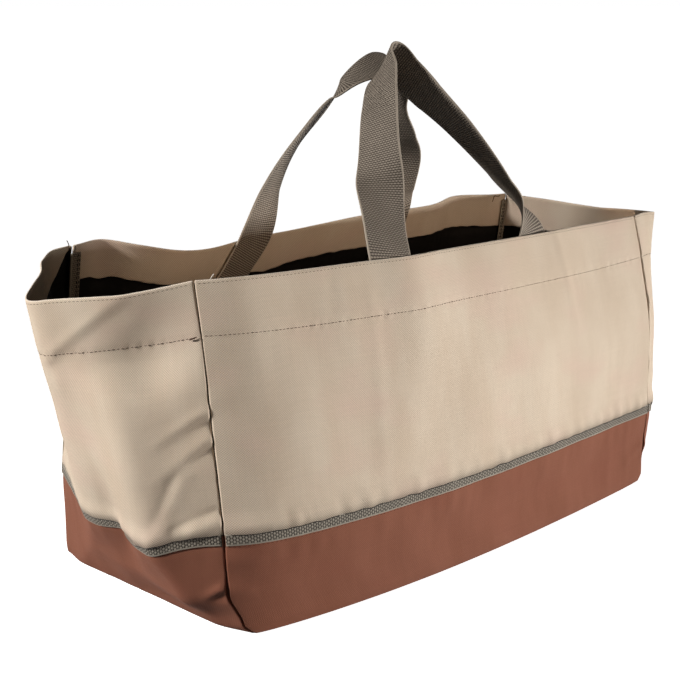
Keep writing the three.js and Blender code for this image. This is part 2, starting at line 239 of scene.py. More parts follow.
# Lower edge of the tan cloth: how far it rolls out over the tape, the rise over which the roll dies away,
# the share of the roll that is tucked back in at the edge and the rise of that tuck
LIP_CLIMB = 78.8
LIP_OUT = 3.3
LIP_RISE = 19.0
LIP_TUCK = 0.4
LIP_TUCK_RISE = 7.0
# Share of the roll that is left at the seams, and the length from each panel's first and last seam in which
# it fills out
LIP_HELD = 0.35
LIP_FREE = {"front": 9.0, "right": 9.0, "back": 9.0, "left": 200.0}
LIP_FREE_LAST = 9.0
# Share of the face's height in which the black coating shows at the cut edge: a thin black line painted as
# the shadow under the roll over the tape
SHADOW_LINE_SHARE = 0.005
# Painted shade where the tan cloth rolls under at its lower edge, darker towards the edge: reach up the
# cloth, and root of the loss at the edge. The brown cloth is given a climb that lies below all of it.
PAINTED_SHADE_REACH = 10.0
PAINTED_SHADE_DEPTH = 0.76
NO_PAINTED_SHADE = -400.0
# Places where the lower edge droops
LIP_DROOPS = {
    "front": table("s spread drop", (250, 60, 0.5)),
    "right": table("s spread drop", (60, 30, 1.0)),
    "back": table("s spread drop", (120, 40, 1.0), (380, 50, 1.0)),
    "left": table("s spread drop", (160, 15, 6.0), (120, 20, 0.5), (40, 40, -2.0)),
}

# Wrinkles: soft ridges on straight lines across the cloth, with their half width and height at each end
RIDGE_COLUMNS = "from_s from_climb to_s to_climb width from_height to_height"
TAN_RIDGES = {
    "front": table(
        RIDGE_COLUMNS,
        (140, 236, 137, 105, 6, 0.5, 0.3),
        (379, 258, 393, 160, 5, 0.7, 0.2),
        (107, 256, 102, 220, 6, -0.5, -0.2),
        (0, 176, 34, 190, 8, 0.9, 0.1),
        (2, 152, 52, 122, 12, 1.0, 0.2),
        (46, 208, 50, 168, 9, -0.5, -0.3),
        (36, 100, 40, 80, 5, 0.2, 0.9),
        (59, 97, 63, 80, 4, 0.1, 0.9),
        (90, 96, 92, 80, 5, -0.2, -0.9),
        (112, 102, 118, 80, 6, 0.1, 0.8),
        (170, 96, 168, 80, 5, 0.1, 0.6),
        (230, 96, 233, 80, 5, 0.1, 0.5),
        (428, 94, 432, 80, 5, 0.1, 0.6),
    ),
    "right": table(RIDGE_COLUMNS, (0, 180, 40, 160, 8, 1.0, 0.2), (0, 120, 50, 100, 8, 0.9, 0.2)),
    "back": table(
        RIDGE_COLUMNS,
        (120, 250, 130, 110, 8, 0.5, 0.2),
        (260, 240, 255, 120, 8, -0.4, -0.2),
        (380, 250, 372, 130, 8, 0.5, 0.2),
        (60, 100, 64, 80, 5, 0.2, 0.8),
        (210, 100, 206, 80, 6, 0.2, 0.7),
        (330, 100, 334, 80, 5, 0.2, 0.8),
        (450, 100, 446, 80, 5, 0.2, 0.8),
    ),
    "left": table(
        RIDGE_COLUMNS,
        (238, 168, 198, 150, 4.5, 2.0, 0.3),
        (238, 160, 208, 147, 5.5, -1.2, -0.3),
        (238, 148, 198, 124, 4.5, 1.9, 0.3),
        (238, 140, 208, 124, 5.5, -1.1, -0.3),
        (238, 89, 212, 82, 4.2, 2.2, 0.8),
        (238, 97, 208, 88, 2.8, -1.5, -0.7),
        (222, 128, 200, 92, 6, 1.2, 1.2),
        (212, 122, 192, 92, 6, -1.2, -1.0),
        (198, 108, 190, 82, 7, 0.3, 1.2),
        (202, 208, 196, 122, 24, -4.0, -3.0),
        (40, 150, 60, 100, 10, 0.5, 0.5),
        (192, 258, 122, 217, 5, 0.9, 1.1),
        (188, 249, 118, 208, 9, -0.7, -0.7),
    ),
}
BROWN_RIDGES = {
    "front": table(
        RIDGE_COLUMNS,
        (0, 62, 30, 56, 6, 1.2, 0.1),
        (0, 40, 24, 34, 5, 1.6, 0.1),
        (448, 60, 440, 20, 6, 0.2, 0.5),
        (470, 66, 476, 30, 5, 0.3, 0.8),
        (500, 40, 476, 30, 5, 1.8, 0.2),
        (370, 66, 352, 16, 9, 0.2, 0.4),
    ),
    "right": table(RIDGE_COLUMNS, (0, 40, 20, 34, 5, 1.6, 0.2)),
    "back": table(RIDGE_COLUMNS, (0, 38, 24, 34, 5, 1.6, 0.2)),
    "left": table(RIDGE_COLUMNS, (238, 40, 224, 33, 2.6, 2.6, 0.4), (238, 33, 226, 28, 3, -1.8, -0.2)),
}

# Handle paths above the rim: share of the free length, place, and turn of the flat out of the handle's plane
PATH_COLUMNS = "share x y z turn"
HANDLES = {
    "front": {
        "foot_along": (0.331, 0.693),
        "foot_slant": (0.0, 0.0),
        "lean": (0, 0.886, -0.464),
        "path": table(
            PATH_COLUMNS,
            (0.12, -66, -77, 293, -16),
            (0.25, -50, -57, 327, -65),
            (0.38, -30, -36, 370, -81),
            (0.45, -14, -22, 390, -92),
            (0.50, -3, -16, 400, -116),
            (0.55, 10, -25, 389, -92),
            (0.62, 20, -44, 370, -80),
            (0.75, 37, -65, 343, -71),
            (0.88, 65, -80, 306, -57),
            (0.95, 85, -84, 282, -45),
        ),
    },
    "back": {
        "foot_along": (0.668, 0.334),
        "foot_slant": (0.05, 0.0),
        "lean": (0, 0.921, 0.39),
        "path": table(
            PATH_COLUMNS,
            (0.12, -72, 52, 293, 22),
            (0.25, -57, 36, 332, 34),
            (0.36, -28, 24, 367, 39),
            (0.43, -15, 14, 383, 64),
            (0.50, 21, 8, 397, 91),
            (0.56, 40, 14, 390, 91),
            (0.62, 38, 24, 368, 70),
            (0.75, 57, 35, 332, 50),
            (0.86, 74, 46, 310, 40),
            (0.95, 78, 57, 277, 22),
        ),
    },
}
# Steps along a strap, reach by share over which its direction is taken, and its half width as a share of
# the rim
STRAP_STEPS = 360
STRAP_SLOPE = 0.004
STRAP_HALF_SHARE = 0.035

# Stitches: length, spacing and thickness of the thread
HEM_STITCH = (2.4, 3.3, 0.55)
RIM_STITCH = (2.0, 3.3, 0.38)
TAPE_STITCH = (2.3, 3.5, 0.45)
BINDING_STITCH = (2.8, 3.6, 0.9)
# Two rows of stitches down each back binding: shares of its width from its middle
BINDING_ROWS = (0.15, 0.36)
# How far the middle of each stitch stands off the cloth, and how far short of the seams the rows stop
HEM_LIFT = 0.08
RIM_LIFT = 0.04
TAPE_LIFT = 0.06
BINDING_LIFT = 0.1
SEWN_END_CUT = 1.8
# Loose thread ends and a knot: a smooth curve through a few places, and the thickness of the thread
CURVE_COLUMNS = "place x y z"
THREAD_ENDS = {
    "pale_thread_end": (
        table(CURVE_COLUMNS, (0, -239, -80, 254), (1, -236, -82, 257.5), (2, -233, -82, 261)),
        0.9,
    ),
    "dark_thread_end": (
        table(CURVE_COLUMNS, (0, -245, 88, 258), (1, -245.6, 88, 262.5), (2, -247, 88, 265.5)),
        0.7,
    ),
    "seam_knot": (
        table(CURVE_COLUMNS, (0, -257.2, -85.1, 218.2), (1, -256.3, -87.2, 219.2), (2, -254.2, -89.1, 220.2)),
        1.2,
    ),
    "brown_thread_end": (
        table(
            CURVE_COLUMNS, (0, 242, 74, 258.5), (1, 237.8, 73, 258), (2, 233.3, 73, 259), (3, 230, 73, 253.5)
        ),
        0.8,
    ),
}


# Shape of the cloth


def read(rows, key, field, at):
    """Smooth curve through one column: cubic pieces whose slope at a row is the mean of the slopes on both
    sides, weighted by the spacing of the other side, and level where the column turns back."""
    x, y = rows[key], rows[field]
    step = np.diff(x)
    rise = np.diff(y) / step
    slope = (rise[:-1] * step[1:] + rise[1:] * step[:-1]) / (step[:-1] + step[1:])
    slope = np.where(rise[:-1] * rise[1:] <= 0, 0, slope)
    slope = np.concatenate([rise[:1], slope, rise[-1:]])
    i = np.clip(np.searchsorted(x, at, side="right") - 1, 0, len(x) - 2)
    q = (at - x[i]) / step[i]
    start = y[i] * (1 + 2 * q) * (1 - q) ** 2 + slope[i] * step[i] * q * (1 - q) ** 2
    return start + y[i + 1] * q * q * (3 - 2 * q) + slope[i + 1] * step[i] * q * q * (q - 1)


def unit(vectors):
    """Each vector divided by its own length."""
    return vectors / np.maximum(np.linalg.norm(vectors, axis=-1, keepdims=True), 1e-9)


def smoothstep(q):
    """3q² - 2q³ between 0 and 1, and level outside."""
    q = np.clip(q, 0, 1)
    return q * q * (3 - 2 * q)


def seam(corner, climb):
    """Plan of a corner seam: its x and y read at a climb."""
    return np.stack([read(SEAMS, "climb", corner + axis, climb) for axis in ("_x", "_y")], -1)


def end_plan(name, along, climb):
    """Plan of an end: a bent line seam, fold, fold, seam, followed by share of its length and rounded by
    averaging over a reach on both sides. A fold stands out from the straight line between the seams."""
    rows = FOLDS[name]
    first, second = (seam(corner, climb) for corner in PANELS[name][:2])

    def fold(side):
        """Plan of one fold: a point on the line between the seams, moved out."""
        y = read(rows, "climb", side + "_y", climb)
        share = (y - first[..., 1]) / (second[..., 1] - first[..., 1])
        x = first[..., 0] + (second[..., 0] - first[..., 0]) * share
        return np.stack([x + PANELS[name][4] * read(rows, "climb", side + "_out", climb), y], -1)

    sides = ("back", "front") if name == "left" else ("front", "back")
    corners = np.stack([first, fold(sides[0]), fold(sides[1]), second], -2)
    reach = np.minimum(read(rows, "climb", "round", climb), np.minimum(along, 1 - along))
    shares = along[..., None] + reach[..., None] * np.linspace(-1, 1, 25)
    legs = np.linalg.norm(np.diff(corners, axis=-2), axis=-1)
    ends = np.cumsum(legs, -1)
    distance = shares * ends[..., -1:]
    leg = (distance > ends[..., :1]).astype(int) + (distance > ends[..., 1:2])
    start = np.take_along_axis(np.concatenate([0 * ends[..., :1], ends[..., :2]], -1), leg, -1)
    q = (distance - start) / np.take_along_axis(legs, leg, -1)
    here = np.take_along_axis(corners, leg[..., None], -2)
    there = np.take_along_axis(corners, leg[..., None] + 1, -2)
    return (here + (there - here) * q[..., None]).mean(-2)


def side_bow(name, along, climb):
    """Outward bow of a long side: half a sine over its length, with the length skewed to put the top at its
    peak. The front also swells out at once beside its first seam: one less a falling exponential of the
    share along it, sinking evenly to nothing at the far seam."""
    peak = read(BOWS, "climb", "front_peak", climb) if name == "front" else 0.5
    share = along + (0.5 - peak) / (peak * (1 - peak)) * along * (1 - along)
    arch = np.maximum(np.sin(np.pi * share), 0)
    if name == "back":
        return read(BOWS, "climb", "back", climb) * arch
    swell = read(BOWS, "climb", "front_swell", climb) * (1 - np.exp(-along / SWELL_REACH)) * (1 - along)
    return read(BOWS, "climb", "front", climb) * arch ** read(BOWS, "climb", "front_power", climb) + swell


def rim_wave(name, along, climb):
    """Sum of bells along the rim of a panel, fading out down the cloth."""
    rows = RIM_WAVES[name]
    bells = rows["out"] * np.exp(-(((along[..., None] - rows["along"]) / rows["spread"]) ** 2))
    return bells.sum(-1) * smoothstep((climb - WAVE_FADE_CLIMB) / (CLOTH_HEIGHT - WAVE_FADE_CLIMB))


def end_dent(name, along, climb):
    """Sum of the dents of an end: bells in both the share along it and the climb."""
    if name not in END_DENTS:
        return 0.0
    rows = END_DENTS[name]
    across = (along[..., None] - rows["along"]) / rows["spread"]
    up = (climb[..., None] - rows["climb"]) / rows["reach"]
    return (rows["depth"] * np.exp(-(across**2) - up**2)).sum(-1)


def wall(name, along, climb):
    """Outer face of the smooth cloth. The plan gives x and y, and the height is what is left of the climb
    after the plan's lean from its foot on the floor, less the hang of the rim."""
    along, climb = np.broadcast_arrays(np.asarray(along, float), np.asarray(climb, float))
    start, end = (np.array(BASE_CORNERS[corner], float) for corner in PANELS[name][:2])
    foot = start + (end - start) * along[..., None]
    if name in ("front", "back"):
        first, second = (seam(corner, climb) for corner in PANELS[name][:2])
        plan = first + (second - first) * along[..., None]
        plan[..., 1] += PANELS[name][4] * (side_bow(name, along, climb) + rim_wave(name, along, climb))
        foot[..., 1] += PANELS[name][4] * side_bow(name, along, 0 * climb)
    else:
        plan = end_plan(name, along, climb)
        plan[..., 0] -= PANELS[name][4] * end_dent(name, along, climb)
        if name in RIM_WAVES:
            plan[..., 1] += PANELS[name][4] * rim_wave(name, along, climb)
    lean = ((plan - foot) ** 2).sum(-1)
    hang = read(RIM_SAG[name], "along", "hang", along) * np.minimum(climb / SAG_CLIMB, 1) ** 2
    z = np.sqrt(np.maximum(climb**2 - lean, 0.3 * climb**2)) - hang
    return np.concatenate([plan, z[..., None]], -1)


# Reach on both sides, in share along and in climb, over which the slope of the cloth is taken
SLOPE_ALONG = 0.012
SLOPE_CLIMB = 4.0
# Share along a panel from which its direction at a seam is taken, and least depth past a turned-in edge
SEAM_REACH = 0.02
LEAST_TURN_IN = 0.2


def wall_normal(name, along, climb):
    """Outward unit normal of the smooth cloth: the step along it crossed with the step up it."""
    along, climb = np.broadcast_arrays(np.asarray(along, float), np.asarray(climb, float))
    after, before = np.minimum(along + SLOPE_ALONG, 1), np.maximum(along - SLOPE_ALONG, 0)
    above, below = np.minimum(climb + SLOPE_CLIMB, CLOTH_HEIGHT), np.maximum(climb - SLOPE_CLIMB, 0)
    across = wall(name, after, climb) - wall(name, before, climb)
    up = wall(name, along, above) - wall(name, along, below)
    return unit(np.cross(across, up))


def panel_length(name):
    """Length of a panel's row at half its height."""
    row = wall(name, np.linspace(0, 1, 400), CLOTH_HEIGHT / 2)
    return np.linalg.norm(np.diff(row, axis=0), axis=1).sum()


LENGTHS = {name: panel_length(name) for name in PANELS}


# Wrinkles, puckers and sewn lines


def ridges(rows, s, climb):
    """Sum of soft ridges: a bell of the distance to each ridge's line, its height even from one end to the
    other."""
    start = np.stack([rows["from_s"], rows["from_climb"]], -1)
    run = np.stack([rows["to_s"], rows["to_climb"]], -1) - start
    away = np.stack(np.broadcast_arrays(s, climb), -1)[..., None, :] - start
    share = np.clip((away * run).sum(-1) / (run**2).sum(-1), 0, 1)
    miss = np.linalg.norm(away - share[..., None] * run, axis=-1)
    height = rows["from_height"] + (rows["to_height"] - rows["from_height"]) * share
    return (height * np.exp(-((miss / rows["width"]) ** 2))).sum(-1)


def undulation(s, climb, seed, along_wave, up_wave, count=18):
    """Uneven waves of about unit height: a seeded sum of cosines of about the two wavelengths."""
    random = np.random.default_rng(seed)
    pace = 2 * np.pi * random.uniform(0.6, 1.5, (2, count)) / np.array([[along_wave], [up_wave]])
    pace[1] *= random.choice([-1, 1], count)
    phase = random.uniform(0, 2 * np.pi, count)
    s, climb = np.broadcast_arrays(s, climb)
    return np.cos(s[..., None] * pace[0] + climb[..., None] * pace[1] + phase).sum(-1) / np.sqrt(count / 2)


SEEDS = {"front": 11, "right": 23, "back": 37, "left": 41}
# Uneven waves of the cloth: number added to the panel's seed, height, and wavelengths along and up the cloth
UNEVEN = {
    "lip_edge": (1, 0.25, 22.0, 22.0),
    "lip_pucker": (2, 0.14, 24.0, 60.0),
    "tan_waves": (3, 0.35, 110.0, 240.0),
    "hem_pinch": (4, 0.5, 11.0, 11.0),
    "hem_edge": (6, 0.2, 18.0, 18.0),
    "brown_waves": (7, 0.25, 90.0, 90.0),
    "tape_pucker": (8, 0.12, 22.0, 22.0),
}
# The puckers move up the cloth at a share of its climb, and never take more than a part of the roll away
PUCKER_CLIMB_SHARE = 0.25
PUCKER_LEAST = 0.85
# Climb from which the slow waves of the tan cloth come in, and the height over which they do
TAN_WAVE_CLIMB = 80.0
TAN_WAVE_RISE = 50.0
# The brown cloth lies smooth at the floor and behind the tape: heights over which its relief comes in and
# dies away, and the climb that it dies away to. Its puckers gather about a climb below the tape.
BROWN_GRIP_RISE = 12.0
BROWN_FADE_CLIMB = 80.0
BROWN_FADE_RISE = 8.0
TAPE_PUCKER_CLIMB = 62.0
TAPE_PUCKER_REACH = 9.0
# Shallow valleys along the sewn lines: depth and half width. Below the hem the single cloth lies further
# back.
HEM_VALLEY_DEPTH = 0.5
HEM_VALLEY_WIDTH = 1.7
HEM_SETBACK = 0.35
HEM_SETBACK_RISE = 2.0
RIM_VALLEY_DEPTH = 0.25
RIM_VALLEY_WIDTH = 1.2
TAPE_VALLEY_DEPTH = 0.35
TAPE_VALLEY_WIDTH = 1.4


def uneven(kind, name, s, climb):
    """One kind of uneven waves on a panel: its height times the seeded sum of cosines."""
    number, height, along_wave, up_wave = UNEVEN[kind]
    return height * undulation(s, climb, SEEDS[name] + number, along_wave, up_wave)


def hem_line(name, s):
    """Climb of the sewn line of the hem, read by share of the panel's length."""
    return read(HEM_LINES[name], "along", "climb", np.clip(s / LENGTHS[name], 0, 1))


def hem_edge(name, s):
    """Raw lower edge of the turned-in hem, read from its table and slightly ragged."""
    straight = read(HEM_EDGES[name], "along", "climb", np.clip(s / LENGTHS[name], 0, 1))
    return straight + uneven("hem_edge", name, s, 0.0)


def lip_climb(name, s):
    """Lower edge of the tan cloth: a level line with small scallops, lower where it droops."""
    rows = LIP_DROOPS[name]
    droop = (rows["drop"] * np.exp(-(((s[..., None] - rows["s"]) / rows["spread"]) ** 2))).sum(-1)
    return LIP_CLIMB + uneven("lip_edge", name, s, 0.0) - droop


def tan_relief(name, s, climb):
    """How far the tan cloth stands off its smooth shape: wrinkles, slow waves, a puckered roll over the
    tape that fades out up the cloth and is tucked back in at the edge, and shallow valleys along the sewn
    lines of the hem and the rim."""
    rise = (climb - LIP_CLIMB) / LIP_RISE
    pucker = np.maximum(1 + uneven("lip_pucker", name, s, PUCKER_CLIMB_SHARE * climb), PUCKER_LEAST)
    free = smoothstep(s / LIP_FREE[name]) * smoothstep((LENGTHS[name] - s) / LIP_FREE_LAST)
    tuck = LIP_TUCK * np.clip(1 - (climb - LIP_CLIMB) / LIP_TUCK_RISE, 0, 1) ** 2
    roll = LIP_OUT * (LIP_HELD + (1 - LIP_HELD) * free) * pucker * (1 - smoothstep(rise) - tuck)
    slow = uneven("tan_waves", name, s, climb) * smoothstep((climb - TAN_WAVE_CLIMB) / TAN_WAVE_RISE)
    hem_gap = climb - hem_line(name, s)
    pinch = 1 + uneven("hem_pinch", name, s, 0.0)
    hem_valley = -HEM_VALLEY_DEPTH * pinch * np.exp(-((hem_gap / HEM_VALLEY_WIDTH) ** 2))
    hem_valley = hem_valley - HEM_SETBACK * smoothstep(-hem_gap / HEM_SETBACK_RISE)
    rim_valley = -RIM_VALLEY_DEPTH * np.exp(-(((climb - RIM_LINE) / RIM_VALLEY_WIDTH) ** 2))
    return ridges(TAN_RIDGES[name], s, climb) + roll + slow + hem_valley + rim_valley


def brown_relief(name, s, climb):
    """How far the brown cloth stands off its smooth shape: wrinkles, slow waves, puckers below the tape,
    and a shallow valley along the tape's sewn line."""
    grip = smoothstep(climb / BROWN_GRIP_RISE)
    fade = smoothstep((BROWN_FADE_CLIMB - climb) / BROWN_FADE_RISE)
    slow = uneven("brown_waves", name, s, climb)
    below_tape = np.exp(-(((climb - TAPE_PUCKER_CLIMB) / TAPE_PUCKER_REACH) ** 2))
    pucker = uneven("tape_pucker", name, s, 0.0) * below_tape
    line = -TAPE_VALLEY_DEPTH * np.exp(-(((climb - TAPE_VALLEY) / TAPE_VALLEY_WIDTH) ** 2))
    return grip * (ridges(BROWN_RIDGES[name], s, climb) + slow + pucker) * fade + line


# Grids and meshes


def facing(grid, ring=False):
    """Unit normals of a grid with rows up the cloth and columns along it. A ring's columns meet."""
    if ring:
        grid = np.concatenate([grid[:, -1:], grid, grid[:, :1]], 1)
    normals = unit(np.cross(np.gradient(grid, axis=1), np.gradient(grid, axis=0)))
    return normals[:, 1:-1] if ring else normals


def corner_turn(name, at_end, edge, climb):
    """Columns that carry a panel's edge round into its corner seam: a quarter ellipse from the face of the
    cloth to the side of the groove, then straight into the bag half way between the two panels."""
    own, other = (1.0, 0.0) if at_end else (0.0, 1.0)
    neighbour = PANELS[name][3] if at_end else PANELS[name][2]
    inside = abs(own - SEAM_REACH)
    low = np.clip(climb, 0, CLOTH_HEIGHT)
    into = unit(wall(name, inside, low) - wall(name, own, low))
    inward = -unit(wall_normal(name, own, low) + wall_normal(neighbour, other, low))
    gap, depth = (read(CORNER_TUCK, "climb", field, low)[:, None, None] for field in ("gap", "depth"))
    turn = np.linspace(0, np.pi / 2, TUCK_TURNS + 1)[1:, None]
    shift = -(TUCK_RADIUS - gap / 2) * np.sin(turn)
    sink = np.minimum(TUCK_RADIUS, depth) * (1 - np.cos(turn))
    shift = np.concatenate([shift, shift[:, -1:]], 1)
    sink = np.concatenate([sink, np.maximum(depth, sink[:, -1:] + LEAST_TURN_IN)], 1)
    columns = edge[:, None] + into[:, None] * shift + inward[:, None] * sink
    return columns if at_end else columns[:, ::-1]


def panel_columns(name):
    """Places along a panel for the columns of its face, kept a turn's radius back from its seams."""
    margin = TUCK_RADIUS / LENGTHS[name]
    return np.linspace(margin, 1 - margin, int(LENGTHS[name] / GRID_STEP) + 1)


def with_turns(name, face, s, climb):
    """A panel's face with its turned-in edges, and the length along the cloth of each column."""
    first = corner_turn(name, False, face[:, 0], climb[:, 0])
    last = corner_turn(name, True, face[:, -1], climb[:, -1])
    spare = TUCK_STEP * np.arange(1, TUCK_TURNS + 2)
    lengths = np.concatenate([s[0] - spare[::-1], s, s[-1] + spare])
    return np.concatenate([first, face, last], 1), lengths


def grid_faces(rows, columns, ring=False, closed=False):
    """Corner rows and columns of the quads of a grid, counted on past the end where a ring or a closed loop
    meets."""
    row, column = np.mgrid[: rows - (not closed), : columns - (not ring)].reshape(2, -1)
    return np.stack([row, row, row + 1, row + 1], -1), np.stack([column, column + 1, column + 1, column], -1)


def make_piece(name, points, blocks, materials, nodes=()):
    """A mesh from points in millimetres and blocks of faces. A block is the faces' point numbers, the cloth
    place of each corner, and the number of its material."""
    mesh = bpy.data.meshes.new(name)
    mesh.from_pydata(points * MM, [], [face for faces, _, _ in blocks for face in faces.tolist()])
    places = np.concatenate([uv.ravel() for _, uv, _ in blocks])
    mesh.uv_layers.new(name="cloth").data.foreach_set("uv", places)
    chosen = np.concatenate([np.broadcast_to(number, len(faces)) for faces, _, number in blocks])
    mesh.polygons.foreach_set("material_index", chosen.astype(np.int32))
    mesh.polygons.foreach_set("use_smooth", np.ones(len(chosen), bool))
    for material in materials:
        mesh.materials.append(material)
    mesh.update()
    piece = bpy.data.objects.new(name, mesh)
    bpy.context.scene.collection.objects.link(piece)
    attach(piece, "root")
    if nodes:
        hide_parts(*nodes)
    return piece


# Materials


def add_node(tree, kind, inputs=(), **settings):
    """A shader node with its settings, and its inputs set to a value or linked to another node's output."""
    node = tree.nodes.new(kind)
    for key, value in settings.items():
        setattr(node, key, value)
    for key, value in dict(inputs).items():
        if isinstance(value, bpy.types.NodeSocket):
            tree.links.new(value, node.inputs[key])
        else:
            node.inputs[key].default_value = value
    return node


def calculate(tree, operation, first, second=0.0):
    """One sum on two numbers or node outputs."""
    return add_node(tree, "ShaderNodeMath", {0: first, 1: second}, operation=operation).outputs[0]


def blend(tree, share, first, second, kind="MIX"):
    """A share of the way from the first colour to the second, or another kind of mix of the two."""
    inputs = {0: share, 6: first, 7: second}
    return add_node(tree, "ShaderNodeMix", inputs, data_type="RGBA", blend_type=kind).outputs[2]


def remap(tree, value, low, high, at_low=0.0, at_high=1.0):
    """A straight ramp from one value at the low end to another at the high end, level beyond both."""
    return add_node(tree, "ShaderNodeMapRange", {0: value, 1: low, 2: high, 3: at_low, 4: at_high}).outputs[0]


def shaded(tree, shader, tone, shade):
    """The shader's colour: a tone multiplied by a grey shade."""
    grey = add_node(tree, "ShaderNodeCombineColor", {0: shade, 1: shade, 2: shade}).outputs[0]
    tree.links.new(blend(tree, 1.0, tone, grey, "MULTIPLY"), shader.inputs["Base Color"])


def varied(tree, shade, pattern, middle, depth):
    """A shade with a pattern's departure from its middle added at a depth."""
    departure = calculate(tree, "SUBTRACT", pattern, middle)
    return calculate(tree, "ADD", shade, calculate(tree, "MULTIPLY", departure, depth))


def colour(red, green, blue):
    """Linear colour of a photographed colour given as 0 to 255."""
    c = np.array([red, green, blue]) / 255
    return (*np.where(c <= 0.04045, c / 12.92, ((c + 0.055) / 1.055) ** 2.4), 1.0)


# Finish of all the cloth, webbing and thread
CLOTH_SPECULAR = 0.12
CLOTH_ROUGHNESS = 0.9
COATING_ROUGHNESS = 0.6
WEBBING_ROUGHNESS = 0.7
THREAD_ROUGHNESS = 0.7
# Relief: strength, and depth in metres. In the weave the grain counts for a share of the threads.
CLOTH_BUMP = (0.3, 0.0002)
COATING_BUMP = (0.25, 0.0003)
WEBBING_BUMP = (0.6, 0.0005)
GRAIN_BUMP_SHARE = 0.6
# Noises of the cloth: pace along it and up it, and number of finer layers
BLOTCH_NOISE = (0.030, 0.011, 3.0)
PATCH_NOISE = (0.012, 0.020, 2.0)
GRAIN_NOISE = (1.1, 0.8, 1.0)
WARP_NOISE = (0.9, 0.012, 1.0)
WEFT_NOISE = (0.012, 0.9, 1.0)
MOTTLE_NOISE = (0.08, 0.08, 4.0)
COATING_NOISE = (0.9, 0.9, 2.0)
WEAR_NOISE = (0.05, 0.03, 3.0)
NOISE_ROUGHNESS = 0.55
# Limits of a noise between which one tone goes over to the next, and of the webbing's threads from gap to
# ridge
BLOTCH_LIMITS = (0.36, 0.64)
PATCH_LIMITS = (0.5, 0.75)
RAISED_LIMITS = (-1.3, 1.5)
# The webbing is lighter and darker by its wear, and plain from one place to another in from its edges
WEAR_LIMITS = (0.3, 0.7)
WEAR_SHADES = (0.9, 1.08)
EDGE_INSETS = (1.5, 0.9)
# The top of the rim gets a painted highlight, and grain and threads make the shade uneven
RIM_HIGHLIGHT = colour(246, 236, 222)
RIM_HIGHLIGHT_SHARE = 0.55
GRAIN_DEPTH = 0.16
YARN_DEPTH = 0.08


def start_material(name, roughness):
    """A new material with its shader, and the cloth's own length and climb in millimetres."""
    material = bpy.data.materials.new(name)
    material.use_nodes = True
    tree = material.node_tree
    shader = tree.nodes["Principled BSDF"]
    shader.inputs["Roughness"].default_value = roughness
    shader.inputs["Specular IOR Level"].default_value = CLOTH_SPECULAR
    place = add_node(tree, "ShaderNodeUVMap", uv_map="cloth").outputs["UV"]
    return material, tree, shader, place


def noise(tree, place, along, up, detail):
    """Noise of the cloth's place, with a pace along it and a pace up it."""
    stretched = add_node(tree, "ShaderNodeMapping", {"Vector": place, "Scale": (along, up, 1.0)}).outputs[0]
    inputs = {"Vector": stretched, "Scale": 1.0, "Detail": detail, "Roughness": NOISE_ROUGHNESS}
    return add_node(tree, "ShaderNodeTexNoise", inputs).outputs["Fac"]


def set_bump(tree, shader, height, strength, distance):
    """Fine relief of a shader from a height, with a strength and a depth in metres."""
    bump = add_node(tree, "ShaderNodeBump", {"Height": height, "Strength": strength, "Distance": distance})
    tree.links.new(bump.outputs[0], shader.inputs["Normal"])


def woven_cloth(name, light, middle, deep, pitch, weave_depth, painted_shade_climb):
    """Coated plain-weave cloth: warp and weft as the product of two sines of the cloth's place,
    thread-to-thread grain, slow blotches of three close colours, a painted highlight along the top of the
    rim, and painted shade at the lower edge whose loss grows as the square of the nearness to it."""
    material, tree, shader, place = start_material(name, CLOTH_ROUGHNESS)
    axes = add_node(tree, "ShaderNodeSeparateXYZ", {0: place})
    warp = calculate(tree, "SINE", calculate(tree, "MULTIPLY", axes.outputs[0], 2 * np.pi / pitch))
    weft = calculate(tree, "SINE", calculate(tree, "MULTIPLY", axes.outputs[1], 2 * np.pi / pitch))
    weave = calculate(tree, "MULTIPLY", warp, weft)
    blotch = noise(tree, place, *BLOTCH_NOISE)
    patch = noise(tree, place, *PATCH_NOISE)
    grain = noise(tree, place, *GRAIN_NOISE)
    yarn = calculate(tree, "ADD", noise(tree, place, *WARP_NOISE), noise(tree, place, *WEFT_NOISE))
    ground = blend(tree, remap(tree, blotch, *BLOTCH_LIMITS), middle, light)
    ground = blend(tree, remap(tree, patch, *PATCH_LIMITS), ground, deep)
    # Painted highlight: a lighter tone along the top of the rim's fold
    rim_highlight = remap(tree, axes.outputs[1], CLOTH_HEIGHT - RIM_ROUND, CLOTH_HEIGHT, 0.0, RIM_HIGHLIGHT_SHARE)
    ground = blend(tree, rim_highlight, ground, RIM_HIGHLIGHT)
    # Painted shade: the tan cloth is darkened towards its lower edge, where it rolls under
    lip_shade = remap(tree, axes.outputs[1], painted_shade_climb, painted_shade_climb + PAINTED_SHADE_REACH, PAINTED_SHADE_DEPTH, 0.0)
    lip_shade = calculate(tree, "POWER", lip_shade, 2.0)
    shade = calculate(tree, "SUBTRACT", calculate(tree, "MULTIPLY", weave, weave_depth), lip_shade)
    shade = calculate(tree, "ADD", shade, 1.0)
    shade = varied(tree, shade, grain, 0.5, GRAIN_DEPTH)
    shade = varied(tree, shade, yarn, 1.0, YARN_DEPTH)
    shaded(tree, shader, ground, shade)
    height = calculate(tree, "ADD", weave, calculate(tree, "MULTIPLY", grain, GRAIN_BUMP_SHARE))
    set_bump(tree, shader, height, *CLOTH_BUMP)
    return material


def coated_back(name):
    """Black coating on the back of the cloth: nearly even, with a faint mottle in its colour and a fine
    bump."""
    material, tree, shader, place = start_material(name, COATING_ROUGHNESS)
    mottle = noise(tree, place, *MOTTLE_NOISE)
    tree.links.new(blend(tree, mottle, colour(16, 14, 13), colour(27, 24, 22)), shader.inputs["Base Color"])
    set_bump(tree, shader, noise(tree, place, *COATING_NOISE), *COATING_BUMP)
    return material


